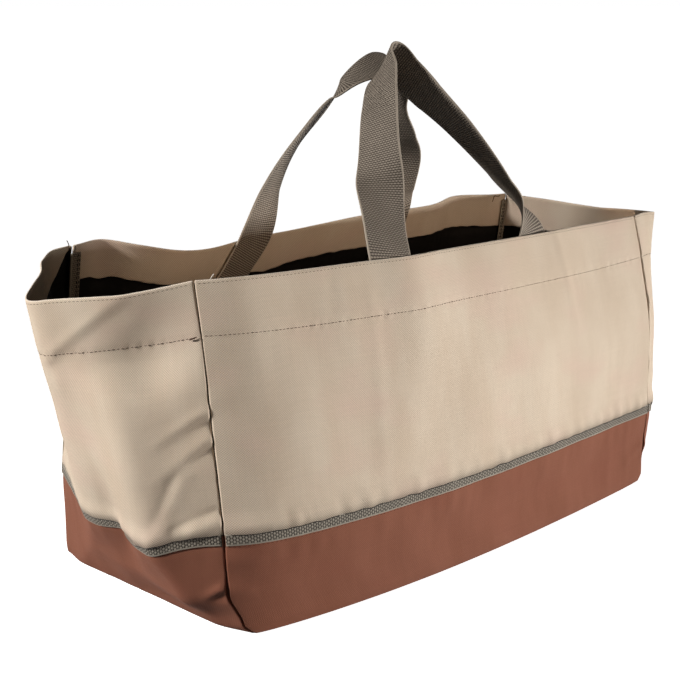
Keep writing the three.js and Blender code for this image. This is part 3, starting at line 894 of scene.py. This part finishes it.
def ribbed_webbing(name, light, gap, rib, float_length, break_up, width):
    """Webbing: ribs across the band as a cosine of the length along it, plus a break-up share of a cosine
    of the place across that is shifted by half a thread on every other rib, so the ribs fall into short
    raised threads. The edges are plain and light."""
    material, tree, shader, place = start_material(name, WEBBING_ROUGHNESS)
    axes = add_node(tree, "ShaderNodeSeparateXYZ", {0: place})
    row = calculate(tree, "DIVIDE", axes.outputs[1], rib)
    ridge = calculate(tree, "COSINE", calculate(tree, "MULTIPLY", row, 2 * np.pi))
    shift = calculate(tree, "MULTIPLY", calculate(tree, "ROUND", row), np.pi)
    turn = calculate(tree, "MULTIPLY", axes.outputs[0], 2 * np.pi / float_length)
    thread = calculate(tree, "COSINE", calculate(tree, "ADD", turn, shift))
    both = calculate(tree, "ADD", ridge, calculate(tree, "MULTIPLY", thread, break_up))
    raised = remap(tree, both, *RAISED_LIMITS)
    from_middle = calculate(tree, "ABSOLUTE", axes.outputs[0])
    edge = remap(tree, from_middle, width / 2 - EDGE_INSETS[0], width / 2 - EDGE_INSETS[1])
    raised = calculate(tree, "MAXIMUM", raised, edge)
    wear = noise(tree, place, *WEAR_NOISE)
    shaded(tree, shader, blend(tree, raised, gap, light), remap(tree, wear, *WEAR_LIMITS, *WEAR_SHADES))
    set_bump(tree, shader, raised, *WEBBING_BUMP)
    return material


def sewing_thread(name, light, deep):
    """Twisted thread: two tones in fine slanting bands."""
    material, tree, shader, place = start_material(name, THREAD_ROUGHNESS)
    inputs = {"Vector": place, "Scale": 1.2, "Distortion": 0.5}
    twist = add_node(tree, "ShaderNodeTexWave", inputs, bands_direction="DIAGONAL").outputs["Fac"]
    tree.links.new(blend(tree, twist, light, deep), shader.inputs["Base Color"])
    return material


TAN_TONES = colour(207, 191, 172), colour(200, 182, 162), colour(205, 182, 165)
BROWN_TONES = colour(134, 86, 68), colour(127, 80, 62), colour(129, 80, 63)
TAN = woven_cloth("tan_cloth", *TAN_TONES, pitch=1.7, weave_depth=0.30, painted_shade_climb=LIP_CLIMB)
BROWN = woven_cloth("brown_cloth", *BROWN_TONES, pitch=1.5, weave_depth=0.16, painted_shade_climb=NO_PAINTED_SHADE)
BLACK = coated_back("coated_back")
WEBBING_TONES = colour(170, 158, 144), colour(50, 42, 37)
TAPE_TONES = colour(152, 144, 132), colour(50, 45, 40)
BINDING_TONES = colour(165, 155, 140), colour(80, 72, 64)
WEBBING = ribbed_webbing(
    "handle_webbing", *WEBBING_TONES, rib=1.9, float_length=2.6, break_up=0.6, width=STRAP_WIDTH
)
TAPE = ribbed_webbing("joint_tape", *TAPE_TONES, rib=2.1, float_length=2.6, break_up=1.1, width=TAPE_WIDTH)
BINDING = ribbed_webbing(
    "seam_binding", *BINDING_TONES, rib=1.7, float_length=2.2, break_up=0.8, width=BINDING_WIDTH
)
DARK_THREAD = sewing_thread("dark_thread", colour(88, 66, 52), colour(62, 46, 36))
RUST_THREAD = sewing_thread("rust_thread", colour(96, 56, 44), colour(74, 44, 36))
PALE_THREAD = sewing_thread("pale_thread", colour(238, 234, 226), colour(214, 208, 198))


# Panels


def panel_cloth(name, node):
    """One tan panel as a closed loop carried along it: up the outer face, over the rim, down the turned-in
    hem to its raw edge, and down the coated back to the lower edge. Material 0 is the face of the cloth, 1
    its black back, which also shows as a thin line at the cut lower edge, a painted shadow under the roll."""
    along = panel_columns(name)
    s = along * LENGTHS[name]
    lip, edge = lip_climb(name, s), hem_edge(name, s)
    lower = np.linspace(0, 1, 64)[:, None]
    # The thin first row is black: a painted shadow line under the roll of the lower edge
    lower[1] = SHADOW_LINE_SHARE
    upper = np.linspace(0, 1, 20)[:, None]
    climb = np.concatenate(
        [lip + (edge - HEM_STEP - lip) * lower, edge + (CLOTH_HEIGHT - RIM_ROUND - edge) * upper]
    )
    smooth = wall(name, along, climb)
    face = smooth + facing(smooth) * tan_relief(name, s + 0 * climb, climb)[..., None]
    outer, lengths = with_turns(name, face, s, climb)
    is_hem = np.arange(len(climb)) >= len(lower)
    thick = np.where(is_hem, HEM_THICK, CLOTH_THICK)[:, None, None]
    inner = outer - facing(outer) * thick
    crest = (outer[-1:] + inner[-1:]) / 2 + RIM_ROUND * unit(outer[-1:] - outer[-3:-2])
    loop = np.concatenate([outer, crest, inner[::-1]])
    rows, columns = loop.shape[:2]
    count = len(climb)
    pad = len(lengths) - len(s)
    climb = np.pad(climb, ((0, 0), (pad // 2, pad // 2)), mode="edge")
    up = np.concatenate([climb, climb[-1:] + 1, climb[::-1], climb[:1]])
    uv = np.stack(np.broadcast_arrays(lengths, up), -1)
    row, column = grid_faces(rows, columns, closed=True)
    faces = (row % rows) * columns + column
    is_back = (row[:, 0] >= 2 * count - len(lower)) | (row[:, 0] == 0)
    ends = np.arange(count - 1)
    cap = np.stack([ends, ends + 1, 2 * count - ends - 1, 2 * count - ends], -1) * columns
    tip = np.array([[count - 1, count, count + 1]]) * columns
    caps = [cap, cap[:, ::-1] + columns - 1]
    tips = [tip, tip[:, ::-1] + columns - 1]
    flat = loop.reshape(-1, 3)
    plain = [(part, np.zeros((*part.shape, 2)), 0) for part in caps + tips]
    blocks = [(faces, uv[row, column], is_back.astype(int)), *plain]
    return make_piece(name + "_cloth", flat, blocks, [TAN, BLACK], [node])


panel_cloths = {
    "front": panel_cloth("front", "front_panel"),
    "right": panel_cloth("right", "right_end_panel"),
    "back": panel_cloth("back", "back_panel"),
    "left": panel_cloth("left", "left_end_panel"),
}


# Base


def base_side(name):
    """One wall of the base with its turned-in corner edges: rows round the fold at the floor, then up the
    wall."""
    along = panel_columns(name)
    s = along * LENGTHS[name]
    turn = np.linspace(np.pi / 2, 0, 7)[:-1, None]
    climb = np.concatenate([BASE_FOLD * (1 - np.sin(turn)), np.linspace(BASE_FOLD, BASE_TOP, 36)[:, None]])
    tucked = np.concatenate([BASE_FOLD * (1 - np.cos(turn)), np.zeros((36, 1))])
    climb = climb + 0 * s
    smooth = wall(name, along, climb)
    outward = wall_normal(name, along, np.full_like(along, 3.0)) * np.array([1, 1, 0])
    smooth = smooth - unit(outward) * tucked[..., None]
    face = smooth + facing(smooth) * brown_relief(name, s + 0 * climb, climb)[..., None]
    grid, lengths = with_turns(name, face, s, climb)
    return grid, lengths, climb[:, 0]


def base_piece():
    """The base as one ring carried round the bag: out over the floor from its middle, up the four walls,
    and back down their coated inside. Rows of the floor shrink the lowest row of the walls towards the
    middle."""
    sides = [base_side(name) for name in PANELS]
    walls = np.concatenate([grid for grid, _, _ in sides], 1)
    offsets = np.cumsum([0] + [LENGTHS[name] + CORNER_SPARE for name in PANELS])
    lengths = np.concatenate([lengths + offset for (_, lengths, _), offset in zip(sides, offsets)])
    shrink = np.array(FLOOR_RINGS)[:, None, None]
    floor = walls[:1] * shrink
    floor[..., 2] = 0
    walls[..., 2] = np.maximum(walls[..., 2], 0)
    outer = np.concatenate([floor, walls])
    inner = outer - facing(outer, ring=True) * BASE_THICK
    inner[: len(shrink)] = floor + np.array([0, 0, FLOOR_THICK])
    inner[..., 2] = np.maximum(inner[..., 2], FLOOR_THICK)
    loop = np.concatenate([outer, inner[::-1]])
    rows, columns = loop.shape[:2]
    climb = sides[0][2]
    up = np.concatenate([-FLOOR_RING_STEP * np.arange(len(shrink), 0, -1), climb])
    up = np.concatenate([up, up[::-1]])
    lengths = np.append(lengths, offsets[-1] + lengths[0])
    uv = np.stack(np.broadcast_arrays(lengths, up[:, None]), -1)
    row, column = grid_faces(rows, columns, ring=True)
    faces = row * columns + column % columns
    is_back = row[:, 0] >= rows // 2
    spokes = np.arange(columns)
    poles = len(loop.reshape(-1, 3)) + np.arange(2)
    under = np.stack([(spokes + 1) % columns, spokes, 0 * spokes + poles[0]], -1)
    over = np.stack([spokes, (spokes + 1) % columns, 0 * spokes + poles[1] - (rows - 1) * columns], -1)
    over = over + (rows - 1) * columns
    points = np.concatenate([loop.reshape(-1, 3), [[0, 0, 0], [0, 0, FLOOR_THICK]]])
    blocks = [
        (faces, uv[row, column], is_back.astype(int)),
        (under, np.zeros((columns, 3, 2)), 0),
        (over, np.zeros((columns, 3, 2)), 1),
    ]
    return make_piece("base_cloth", points, blocks, [BROWN, BLACK], ["base_tub"])


base_cloth = base_piece()


# Bands: tape, bindings and handles


def band_section(width, thick, flats, bends=4):
    """Closed outline of a flat band, counted across it and through it from its middle: two straight sides
    joined by half circles."""
    half = (width - thick) / 2
    side = np.linspace(-half, half, flats + 1)
    bend = np.linspace(-np.pi / 2, np.pi / 2, bends + 1)[1:-1]
    round_end = half + thick / 2 * np.cos(bend)
    across = np.concatenate([side, round_end, side[::-1], -round_end])
    through = np.concatenate([0 * side - 1, np.sin(bend), 0 * side + 1, -np.sin(bend)]) * thick / 2
    return across, through


def make_band(name, middle, across, through, section, material, *nodes):
    """A band's outline carried along its middle line. Its cloth place is the place across it and the length
    along it."""
    points = middle[:, None] + section[0][:, None] * across[:, None] + section[1][:, None] * through[:, None]
    rows, columns = points.shape[:2]
    length = np.concatenate([[0], np.cumsum(np.linalg.norm(np.diff(middle, axis=0), axis=1))])
    place = np.stack(np.broadcast_arrays(np.append(section[0], section[0][0]), length[:, None]), -1)
    row, column = grid_faces(rows, columns, ring=True)
    faces = row * columns + column % columns
    cap = np.arange(columns)[None]
    blocks = [
        (faces, place[row, column], 0),
        (cap[:, ::-1], place[0, cap[:, ::-1]], 0),
        (cap + (rows - 1) * columns, place[-1, cap], 0),
    ]
    return make_piece(name, points.reshape(-1, 3), blocks, [material], nodes)


def joint_tape(name, node):
    """Tape along the joint of the two cloths, on the brown cloth's own surface, cut short of the seams."""
    cut = TAPE_END_CUT / LENGTHS[name]
    along = np.linspace(cut, 1 - cut, int(LENGTHS[name] / 2))
    s = along * LENGTHS[name]
    climb = np.full_like(s, JOINT_CLIMB)
    out = brown_relief(name, s, climb - TAPE_REST) + TAPE_CLEAR + TAPE_THICK / 2
    normal = wall_normal(name, along, climb)
    middle = wall(name, along, climb) + normal * out[:, None]
    up = unit(wall(name, along, climb + SLOPE_CLIMB) - wall(name, along, climb - SLOPE_CLIMB))
    section = band_section(TAPE_WIDTH, TAPE_THICK, 6)
    return make_band(name + "_joint_tape", middle, up, normal, section, TAPE, node)


def binding_frame(name, at_end):
    """Middle line of a binding and its directions across and out: it lies inside the hem and the cloth by a
    seam."""
    place = (BINDING_INSET + BINDING_WIDTH / 2) / LENGTHS[name]
    along = np.full(BINDING_STEPS, 1 - place if at_end else place)
    climb = np.linspace(BINDING_FOOT, BINDING_TOP, BINDING_STEPS)
    normal = wall_normal(name, along, climb)
    middle = wall(name, along, climb) - normal * (BINDING_CLEAR + BINDING_THICK / 2)
    reach = 4 / LENGTHS[name]
    return middle, unit(wall(name, along + reach, climb) - wall(name, along - reach, climb)), normal


def seam_binding(name, at_end, node, label):
    """Binding down the inside of a corner seam."""
    middle, across, normal = binding_frame(name, at_end)
    section = band_section(BINDING_WIDTH, BINDING_THICK, 8)
    return make_band(label, middle, across, -normal, section, BINDING, node)


def strap_frame(handle, path):
    """Directions across a strap whose flat lies in its handle's plane: off the plane, and in it."""
    off = np.array(handle["lean"]) - path * (path * np.array(handle["lean"])).sum(-1, keepdims=True)
    off = unit(off)
    return off, np.cross(off, path)


def strap_foot(name, i):
    """Rows of one sewn foot, lying flat against the inside of the hem: place and turn at each climb."""
    handle = HANDLES[name]
    climbs = STRAP_FOOT_CLIMBS
    down = (climbs[-1] - climbs) / (climbs[-1] - climbs[0])
    along = handle["foot_along"][i] + handle["foot_slant"][i] * down
    point = wall(name, along, climbs) - wall_normal(name, along, climbs) * STRAP_INWARD
    path = unit(wall(name, along[-1], climbs[-1]) - wall(name, along[0], climbs[0])) * (1 if i == 0 else -1)
    off, flat = strap_frame(handle, path)
    across = wall(name, along + STRAP_HALF_SHARE, climbs) - wall(name, along - STRAP_HALF_SHARE, climbs)
    turn = np.degrees(np.arctan((across * off).sum(-1) / (across * flat).sum(-1)))
    return np.column_stack([point, turn])


def strap_rows(name):
    """Rows of a whole strap, from one sewn foot over the top to the other."""
    path = HANDLES[name]["path"]
    middle = np.column_stack([path[field] for field in ("x", "y", "z", "turn")])
    places = np.concatenate([strap_foot(name, 0), middle, strap_foot(name, 1)[::-1]])
    foot = np.linspace(0, STRAP_FOOT_SHARE, len(STRAP_FOOT_CLIMBS))
    free = STRAP_FOOT_SHARE + (1 - 2 * STRAP_FOOT_SHARE) * path["share"]
    return table(PATH_COLUMNS, *np.column_stack([np.concatenate([foot, free, 1 - foot[::-1]]), places]))


def webbing_handle(name, node):
    """A strap's outline carried along its path and turned about it, the turn read from the handle's
    table."""
    handle, rows = HANDLES[name], strap_rows(name)
    share = np.linspace(0, 1, STRAP_STEPS + 1)

    def centre(at):
        """Middle line of the strap, read by share of its length."""
        return np.stack([read(rows, "share", axis, at) for axis in "xyz"], -1)

    after, before = np.minimum(share + STRAP_SLOPE, 1), np.maximum(share - STRAP_SLOPE, 0)
    path = unit(centre(after) - centre(before))
    off, flat = strap_frame(handle, path)
    turn = np.radians(read(rows, "share", "turn", share))[:, None]
    across = np.cos(turn) * flat + np.sin(turn) * off
    section = band_section(STRAP_WIDTH, STRAP_THICK, 14)
    through = np.cross(path, across)
    return make_band(name + "_webbing_handle", centre(share), across, through, section, WEBBING, node)


# Corners with a binding: the long side it lies on, and whether at that side's second seam
BINDINGS = {
    "front_left": ("front", False),
    "front_right": ("front", True),
    "back_right": ("back", False),
    "back_left": ("back", True),
}
for side in PANELS:
    joint_tape(side, side + "_tape")
for corner, (side, at_end) in BINDINGS.items():
    seam_binding(side, at_end, corner + "_binding", corner + "_seam_binding")
for side in HANDLES:
    webbing_handle(side, side + "_handle")


# Stitches


def stitch_row(name, points, normals, stitch, material, slot):
    """Stitches along a line of points, each a lens: rings of six points about its chord, with a radius of
    half the thread times the root of one less the square of the place along it, closed by a point at each
    tip."""
    length, spacing, thread = stitch
    run = np.concatenate([[0], np.cumsum(np.linalg.norm(np.diff(points, axis=0), axis=1))])
    at = np.arange(spacing / 2, run[-1] - spacing / 2, spacing)

    def along_line(values, where):
        """Values read along the line by length, straight between its points."""
        return np.stack([np.interp(where, run, values[:, axis]) for axis in range(3)], -1)

    centre, normal = along_line(points, at), along_line(normals, at)
    path = unit(along_line(points, at + 0.5) - centre)
    side = unit(np.cross(normal, path))
    normal = np.cross(path, side)
    place = np.array([-0.85, -0.4, 0.4, 0.85])[:, None]
    angle = np.linspace(0, 2 * np.pi, 7)[:-1]
    radius = thread / 2 * np.sqrt(1 - place**2)
    rings = np.broadcast_arrays(place * length / 2, radius * np.cos(angle), radius * np.sin(angle))
    rings = np.stack(rings, -1)
    shape = np.concatenate([rings.reshape(-1, 3), [[-length / 2, 0, 0], [length / 2, 0, 0]]])
    axes = np.stack([path, side, normal], 1)
    cloud = centre[:, None] + np.einsum("pj,njk->npk", shape, axes)
    row, column = grid_faces(4, 6, ring=True)
    quads = row * 6 + column % 6
    ring = np.arange(6)
    near_tip = np.stack([(ring + 1) % 6, ring, 0 * ring + 24], -1)
    far_tip = np.stack([ring + 18, (ring + 1) % 6 + 18, 0 * ring + 25], -1)
    tips = np.concatenate([near_tip, far_tip])
    first = np.arange(len(at))[:, None, None] * len(shape)
    blocks = []
    for part in (quads, tips):
        faces = (part[None] + first).reshape(-1, part.shape[1])
        place_on = cloud.reshape(-1, 3)[faces][..., :2]
        blocks.append((faces, place_on, 0))
    return make_piece(name, cloud.reshape(-1, 3), blocks, [material])


def sewn_line(name, climb, relief, lift):
    """Points and normals of a line along a panel at the climbs given, lifted off its wrinkled surface."""
    cut = SEWN_END_CUT / LENGTHS[name]
    along = np.linspace(cut, 1 - cut, int(LENGTHS[name]))
    s = along * LENGTHS[name]
    climbs = climb(s)
    normal = wall_normal(name, along, climbs)
    return wall(name, along, climbs) + normal * (relief(name, s, climbs) + lift)[:, None], normal


def binding_line(at_end, share):
    """Points and normals of a line down the face of a back binding, at a share of its width from its
    middle."""
    middle, across, normal = binding_frame("back", at_end)
    inward = -1 if at_end else 1
    shift = across * (share * BINDING_WIDTH * inward)
    return middle + shift - normal * (BINDING_THICK / 2 + BINDING_LIFT), -normal


def thread_end(name, rows, thick):
    """A loose end of thread: a ring of six points carried along a smooth curve."""
    at = np.linspace(0, rows["place"][-1], 8 * len(rows))
    line = np.stack([read(rows, "place", axis, at) for axis in "xyz"], -1)
    path = unit(np.gradient(line, axis=0))
    side = unit(np.cross(path, np.array([0.3, 1.0, 0.2])))
    angle = np.linspace(0, 2 * np.pi, 7)[:-1]
    section = (thick / 2 * np.cos(angle), thick / 2 * np.sin(angle))
    material = PALE_THREAD if name.startswith("pale") else DARK_THREAD
    make_band(name, line, side, np.cross(path, side), section, material)


for side in PANELS:
    hem_points = sewn_line(side, lambda s: hem_line(side, s), tan_relief, HEM_LIFT)
    rim_points = sewn_line(side, lambda s: 0 * s + RIM_LINE, tan_relief, RIM_LIFT)
    tape_points = sewn_line(side, lambda s: 0 * s + TAPE_LINE, brown_relief, TAPE_LIFT)
    stitch_row(side + "_hem_stitches", *hem_points, HEM_STITCH, DARK_THREAD, "webbing")
    stitch_row(side + "_rim_stitches", *rim_points, RIM_STITCH, DARK_THREAD, "webbing")
    stitch_row(side + "_tape_stitches", *tape_points, TAPE_STITCH, RUST_THREAD, "brown_cloth")
for corner in ("back_left", "back_right"):
    for i, share in enumerate(BINDING_ROWS):
        label = f"{corner}_binding_stitches_{i + 1}"
        stitch_row(label, *binding_line(BINDINGS[corner][1], share), BINDING_STITCH, BLACK, "webbing")
for label, facts in THREAD_ENDS.items():
    thread_end(label, *facts)


# World and floor


def add_softbox(name, place, aim, width, height, beam, power, tint):
    """A rectangular light that looks from its place to its aim, its beam held in by a grid."""
    light = bpy.data.lights.new(name, "AREA")
    light.shape = "RECTANGLE"
    light.size = width
    light.size_y = height
    light.spread = np.radians(beam)
    light.energy = power
    light.color = tint
    lamp = bpy.data.objects.new(name, light)
    back = unit(np.array(place) - np.array(aim))
    lamp.location = place
    lamp.rotation_euler = (np.arccos(back[2]), 0.0, np.arctan2(back[0], -back[1]))
    bpy.context.scene.collection.objects.link(lamp)


def add_floor():
    """A pale floor, large enough to fill the frame."""
    half = FLOOR_SIZE / 2
    x, y = np.meshgrid([-half, half], [-half, half])
    corners = np.stack([x, y, np.full_like(x, -FLOOR_DROP)], -1).reshape(-1, 3)
    mesh = bpy.data.meshes.new("floor")
    mesh.from_pydata(corners, [], [(0, 1, 3, 2)])
    material = bpy.data.materials.new("pale_floor")
    material.use_nodes = True
    shader = material.node_tree.nodes["Principled BSDF"]
    shader.inputs["Base Color"].default_value = (0.94, 0.94, 0.935, 1)
    shader.inputs["Roughness"].default_value = 0.9
    shader.inputs["Emission Color"].default_value = (1, 1, 1, 1)
    shader.inputs["Emission Strength"].default_value = FLOOR_GLOW
    mesh.materials.append(material)
    floor = bpy.data.objects.new("floor", mesh)
    floor.visible_diffuse = False
    bpy.context.scene.collection.objects.link(floor)


def add_room():
    """Soft even light from all round, with a white band at the horizon."""
    world = bpy.data.worlds.new("room")
    world.use_nodes = True
    tree = world.node_tree
    background = tree.nodes["Background"]
    direction = add_node(tree, "ShaderNodeTexCoord").outputs["Generated"]
    height = add_node(tree, "ShaderNodeSeparateXYZ", {0: direction}).outputs[2]
    from_horizon = calculate(tree, "ABSOLUTE", height)
    band = remap(tree, from_horizon, *HORIZON_BAND, 1.0, ROOM_LIGHT)
    tree.links.new(band, background.inputs["Strength"])
    tint = remap(tree, from_horizon, *HORIZON_BAND)
    tree.links.new(blend(tree, tint, (1, 1, 1, 1), ROOM_TINT), background.inputs["Color"])
    bpy.context.scene.world = world


add_room()
add_floor()
for softbox, facts in SOFTBOXES.items():
    add_softbox(softbox, *facts)

# What each cloth was cut to, in metres
SIDE_CUT = (0.512, 0.225)
END_CUT = (0.246, 0.225)
panel_cuts = {"front": SIDE_CUT, "right": END_CUT, "back": SIDE_CUT, "left": END_CUT}
for side, cut in panel_cuts.items():
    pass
